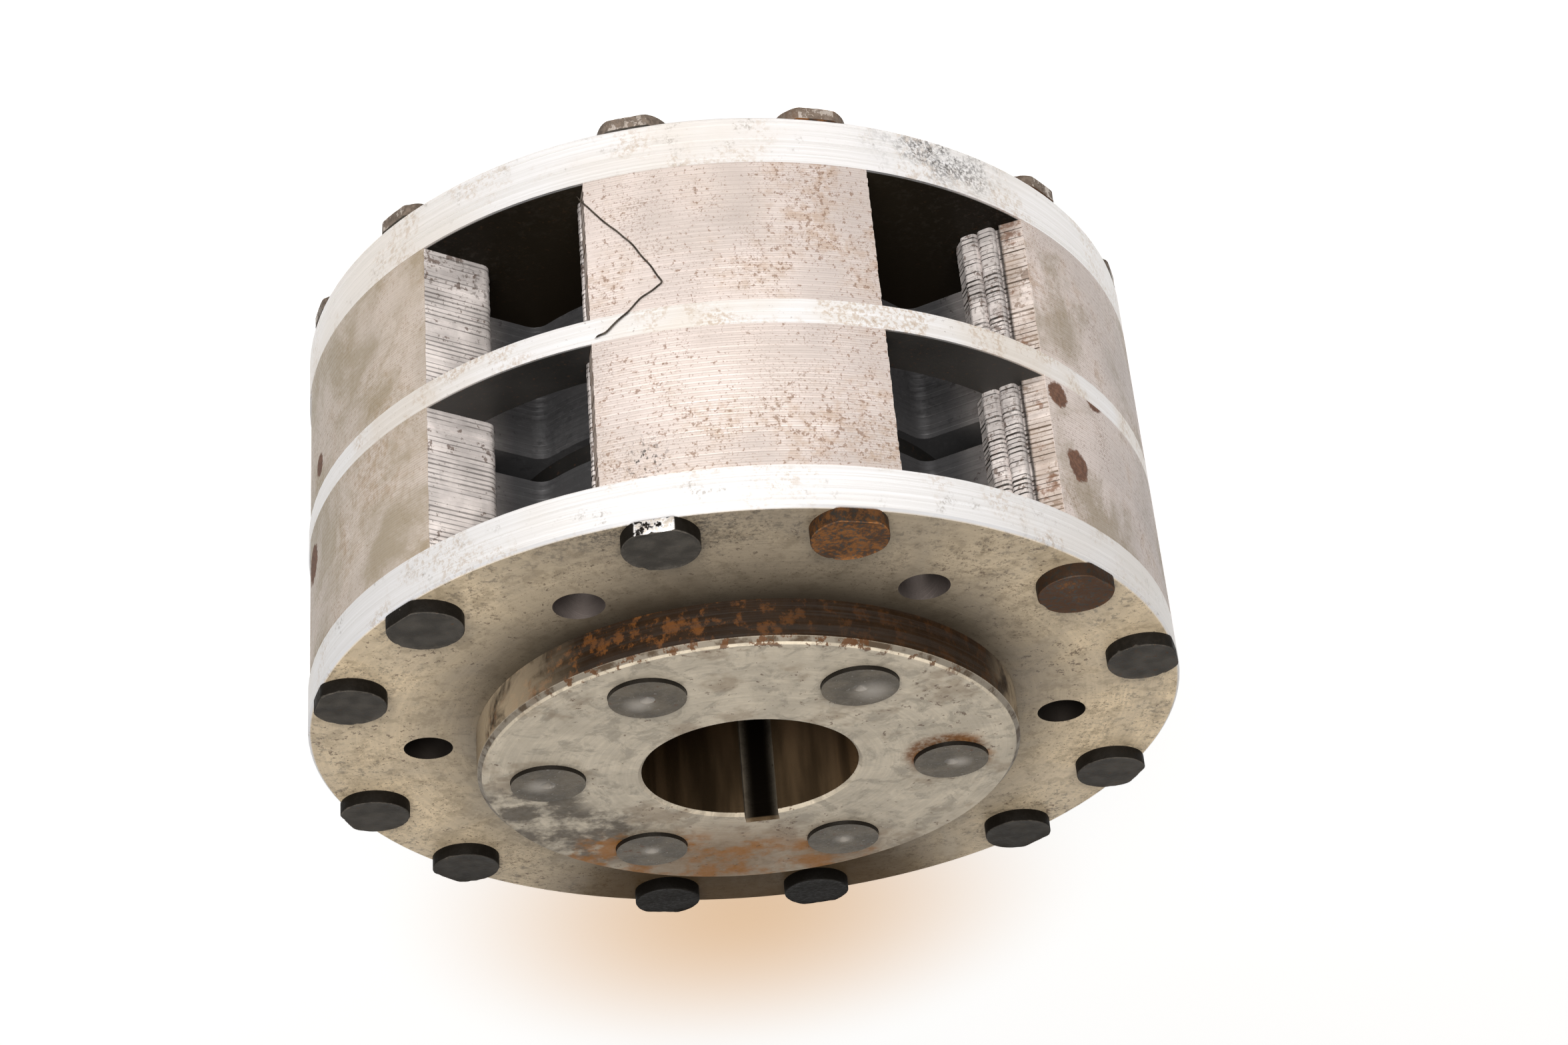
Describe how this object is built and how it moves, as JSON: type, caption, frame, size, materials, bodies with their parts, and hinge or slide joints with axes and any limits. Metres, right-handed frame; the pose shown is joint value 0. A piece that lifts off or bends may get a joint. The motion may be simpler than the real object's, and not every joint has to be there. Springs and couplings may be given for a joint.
{
  "type": "pole lamination stack",
  "caption": "Riveted core of thin steel sheets with pole shoes and open slots between end plates, parted by a spacer ring, on a flanged hub with a keyed bore.",
  "frame": {"origin": "centre of the plane that the twelve far rivet heads rest on, on the bore's axis", "axes": "+Z along the bore out of the hub flange, the front pole faces -Y, +X completes the right hand"},
  "size_m": [0.08, 0.08, 0.0455],
  "materials": {
    "turned_steel": "turned and ground, light stains",
    "sheet_steel": "stamped sheet edges, fine rust specks",
    "rivet_steel": "dark scaled heads, some rusted",
    "hub_steel": "turned, dull, rust stains",
    "hub_rivet_steel": "dull grey heads with a punch mark"
  },
  "bodies": {
    "root": {"hub": "hub_steel", "hub_end_plate": "turned_steel", "far_end_plate": "turned_steel", "hub_side_stack": "sheet_steel", "far_side_stack": "sheet_steel", "spacer_ring": "turned_steel", "spacer_collar": "turned_steel", "pole_rivet_01": "rivet_steel", "pole_rivet_02": "rivet_steel", "pole_rivet_03": "rivet_steel", "pole_rivet_04": "rivet_steel", "pole_rivet_05": "rivet_steel", "pole_rivet_06": "rivet_steel", "pole_rivet_07": "rivet_steel", "pole_rivet_08": "rivet_steel", "pole_rivet_09": "rivet_steel", "pole_rivet_10": "rivet_steel", "pole_rivet_11": "rivet_steel", "pole_rivet_12": "rivet_steel", "hub_rivet_1": "hub_rivet_steel", "hub_rivet_2": "hub_rivet_steel", "hub_rivet_3": "hub_rivet_steel", "hub_rivet_4": "hub_rivet_steel", "hub_rivet_5": "hub_rivet_steel", "hub_rivet_6": "hub_rivet_steel"}
  },
  "joints": []
}
